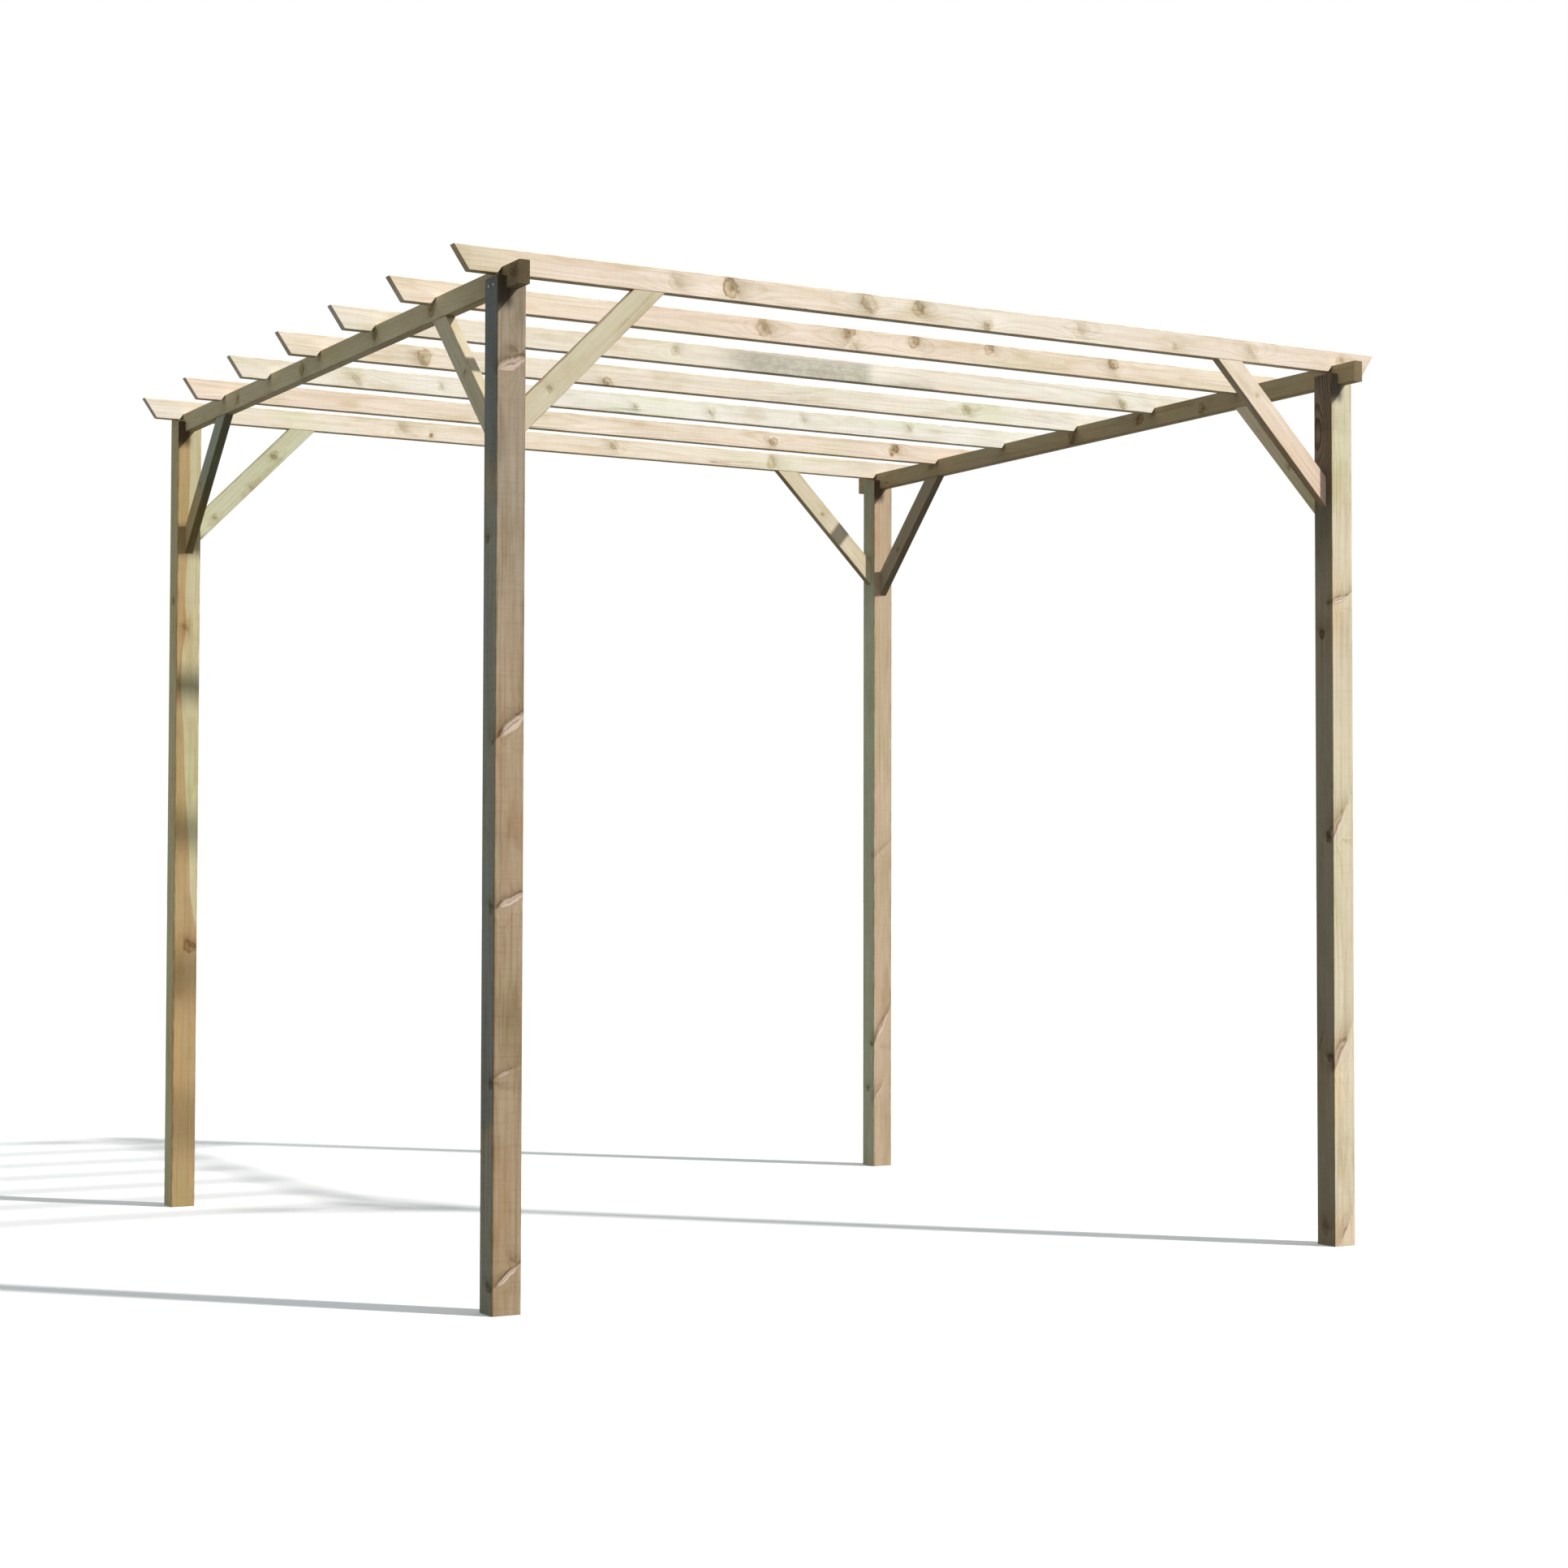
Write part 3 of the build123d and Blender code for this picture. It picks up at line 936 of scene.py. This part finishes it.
def screw_mesh(name, places):
    """One mesh of many heads. A place is (point on the timber, direction out of it, turn of the cross)."""
    vertices, faces = [], []
    rings = head_rings()
    for point, outward, turn in places:
        rotation = Vector(outward).to_track_quat("Z", "Y").to_matrix() @ Matrix.Rotation(turn, 3, "Z")
        base = len(vertices)
        for reach, height in rings:
            for k in range(TURNS):
                angle = 2 * math.pi * k / TURNS
                local = Vector((reach(angle) * math.cos(angle), reach(angle) * math.sin(angle), height))
                vertices.append(Vector(point) + rotation @ local)
        for r in range(len(rings) - 1):
            for k in range(TURNS):
                a, b = base + r * TURNS + k, base + r * TURNS + (k + 1) % TURNS
                faces.append((a, b, b + TURNS, a + TURNS))
        last = base + (len(rings) - 1) * TURNS
        faces.append(tuple(last + k for k in range(TURNS)))
        faces.append(tuple(base + k for k in reversed(range(TURNS))))
    mesh = bpy.data.meshes.new(name)
    mesh.from_pydata(vertices, [], faces)
    mesh.update()
    return mesh


def zinc_material():
    material = bpy.data.materials.new("zinc_plated_steel")
    g = empty_graph(material)
    point = g.add("ShaderNodeTexCoord").outputs["Object"]
    cloud = g.noise(point, "zinc_cloud")
    dull = g.noise(point, "zinc_dull")
    colour = g.mix(g.ramp(cloud, "pale_zinc"), linear(ZINC), linear(PALE_ZINC))
    colour = g.mark("dull_zinc", dull, colour)
    bump = g.add("ShaderNodeBump", {"Height": cloud, "Distance": ZINC_BUMP_DEPTH, "Strength": 0.6})
    shader = g.add("ShaderNodeBsdfPrincipled", {
        "Base Color": colour, "Metallic": 1.0, "Roughness": g.ramp(dull, "zinc_roughness"),
        "Normal": bump.outputs[0]})
    g.add("ShaderNodeOutputMaterial", {"Surface": shader.outputs[0]})
    return material


BRACE_SCREW_INSET = 0.052    # from a brace's end to its screw, along its middle
FORK_SCREW_GAP = 0.013       # each side of the post's middle
FORK_SCREW_DROP = 0.018      # below the top of the fork
RAFTER_SCREW_RISE = 0.012    # above the top of the beam
FORK_TURN = 0.6              # radians that each cross is turned on from the one before
RAFTER_TURN = 0.7
BRACE_TURN = 0.5


def fork_screws():
    places = []
    for end in ("front", "back"):
        for side, out in (("left", -1.0), ("right", 1.0)):
            low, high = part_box(f"post_{end}_{side}")
            face = low.x if out < 0 else high.x
            for step in (-1, 1):
                point = (face, (low.y + high.y) / 2 + step * FORK_SCREW_GAP, high.z - FORK_SCREW_DROP)
                places.append((point, (out, 0.0, 0.0), FORK_TURN * len(places)))
    return places


def rafter_screws():
    """One in the back of each rafter over each beam, driven down at a slant."""
    places = []
    for number in range(1, 8):
        _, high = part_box(f"rafter_{number}")
        for side in ("left", "right"):
            _, beam_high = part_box(f"beam_{side}")
            point = (middle(f"beam_{side}").x, high.y, beam_high.z + RAFTER_SCREW_RISE)
            places.append((point, BACK, RAFTER_TURN * len(places)))
    return places


def brace_screws():
    """One near each end of each brace, on the side away from the front or the left."""
    places = []
    for kind in ("rafter", "beam"):
        for end in ("front", "back"):
            for side in ("left", "right"):
                board = BOARDS[f"{kind}_brace_{end}_{side}"]
                along, depth = Vector(board["along"]), Vector(board["depth"])
                start = Vector(board["origin"]) + depth * board["half"][1]
                for place in (BRACE_SCREW_INSET, board["length"] - BRACE_SCREW_INSET):
                    places.append((start + along * place, depth, BRACE_TURN * len(places)))
    return places


def add_screws():
    zinc = zinc_material()
    groups = {"fork_screws": fork_screws(), "rafter_screws": rafter_screws(),
              "brace_screws": brace_screws()}
    for name, places in groups.items():
        mesh = screw_mesh(name, places)
        mesh.materials.append(zinc)
        obj = new_object(name, mesh)
        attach(obj, "root")


# Floor, light and camera

FLOOR_SIZE = 160.0
FLOOR_SHOWN = 0.97       # floor colour as the camera sees it
FLOOR_LIFT = 0.06        # keeps the open floor white
FLOOR_BOUNCE = 0.16      # floor colour that lights the timber from below
FLOOR_DROP = 0.0005      # metres below the feet
WHITE = (1.0, 1.0, 1.0, 1.0)
SKY_FILL = 0.45
SKY_COLOUR = (0.94, 0.99, 1.0, 1.0)
SUN_STRENGTH = 3.6
SUN_COLOUR = (1.0, 0.985, 0.96)
SUN_AZIMUTH = 43.0       # degrees to the right of straight ahead
SUN_ELEVATION = 39.0
SUN_SOFTNESS = 2.5       # degrees across


def seen_directly(g):
    """1 for rays that show the background, straight, reflected or through glass."""
    path = g.add("ShaderNodeLightPath").outputs
    mirrored = g.math("MAXIMUM", path["Is Glossy Ray"], path["Is Transmission Ray"])
    return g.math("MAXIMUM", path["Is Camera Ray"], mirrored)


def add_floor():
    half = FLOOR_SIZE / 2
    mesh = bpy.data.meshes.new("floor")
    corners = [(-half, -half, 0.0), (half, -half, 0.0), (half, half, 0.0), (-half, half, 0.0)]
    mesh.from_pydata(corners, [], [(0, 1, 2, 3)])
    floor = new_object("floor", mesh)
    floor.location.z = -FLOOR_DROP
    material = bpy.data.materials.new("pale_floor")
    g = empty_graph(material)
    shown = g.add("ShaderNodeBsdfDiffuse", {"Color": (FLOOR_SHOWN,) * 3 + (1.0,)})
    lift = g.add("ShaderNodeEmission", {"Color": WHITE, "Strength": FLOOR_LIFT})
    bright = g.add("ShaderNodeAddShader", {0: shown.outputs[0], 1: lift.outputs[0]})
    bounce = g.add("ShaderNodeBsdfDiffuse", {"Color": (FLOOR_BOUNCE,) * 3 + (1.0,)})
    both = g.add("ShaderNodeMixShader", {0: seen_directly(g), 1: bounce.outputs[0], 2: bright.outputs[0]})
    g.add("ShaderNodeOutputMaterial", {"Surface": both.outputs[0]})
    mesh.materials.append(material)


def add_world():
    world = bpy.data.worlds.new("studio")
    bpy.context.scene.world = world
    g = empty_graph(world)
    fill = g.add("ShaderNodeBackground", {"Color": SKY_COLOUR, "Strength": SKY_FILL})
    white = g.add("ShaderNodeBackground", {"Color": WHITE, "Strength": 1.0})
    both = g.add("ShaderNodeMixShader", {0: seen_directly(g), 1: fill.outputs[0], 2: white.outputs[0]})
    g.add("ShaderNodeOutputWorld", {"Surface": both.outputs[0]})


def add_sun():
    azimuth, elevation = math.radians(SUN_AZIMUTH), math.radians(SUN_ELEVATION)
    towards = Vector((math.sin(azimuth) * math.cos(elevation), -math.cos(azimuth) * math.cos(elevation),
                      math.sin(elevation)))
    lamp = bpy.data.lights.new("key", "SUN")
    lamp.energy = SUN_STRENGTH
    lamp.angle = math.radians(SUN_SOFTNESS)
    lamp.color = SUN_COLOUR
    sun = new_object("key", lamp)
    sun.rotation_mode = "QUATERNION"
    sun.rotation_quaternion = (-towards).to_track_quat("-Z", "Y")


CAMERA_PLACE = (-3.724, -6.842, 0.967)
CAMERA_HEADING = 29.70   # degrees to the right of straight ahead
CAMERA_RISE = 1.90       # degrees above the horizon
CAMERA_ROLL = 0.12
CAMERA_LENS = 63.93      # millimetres
SENSOR_WIDTH = 36.0      # millimetres
CLIP_START = 0.1         # metres
CLIP_END = 500.0


def add_camera():
    data = bpy.data.cameras.new("camera")
    data.sensor_width = SENSOR_WIDTH
    data.lens = CAMERA_LENS
    data.clip_start = CLIP_START
    data.clip_end = CLIP_END
    camera = new_object("camera", data)
    aim = Euler((math.radians(90 + CAMERA_RISE), 0.0, math.radians(-CAMERA_HEADING))).to_matrix()
    roll = Matrix.Rotation(math.radians(CAMERA_ROLL), 3, "Z")
    camera.matrix_world = Matrix.Translation(CAMERA_PLACE) @ (aim @ roll).to_4x4()
    bpy.context.scene.camera = camera


dress_boards()
add_screws()
add_floor()
add_world()
add_sun()
add_camera()
bpy.context.scene.view_settings.view_transform = "Standard"
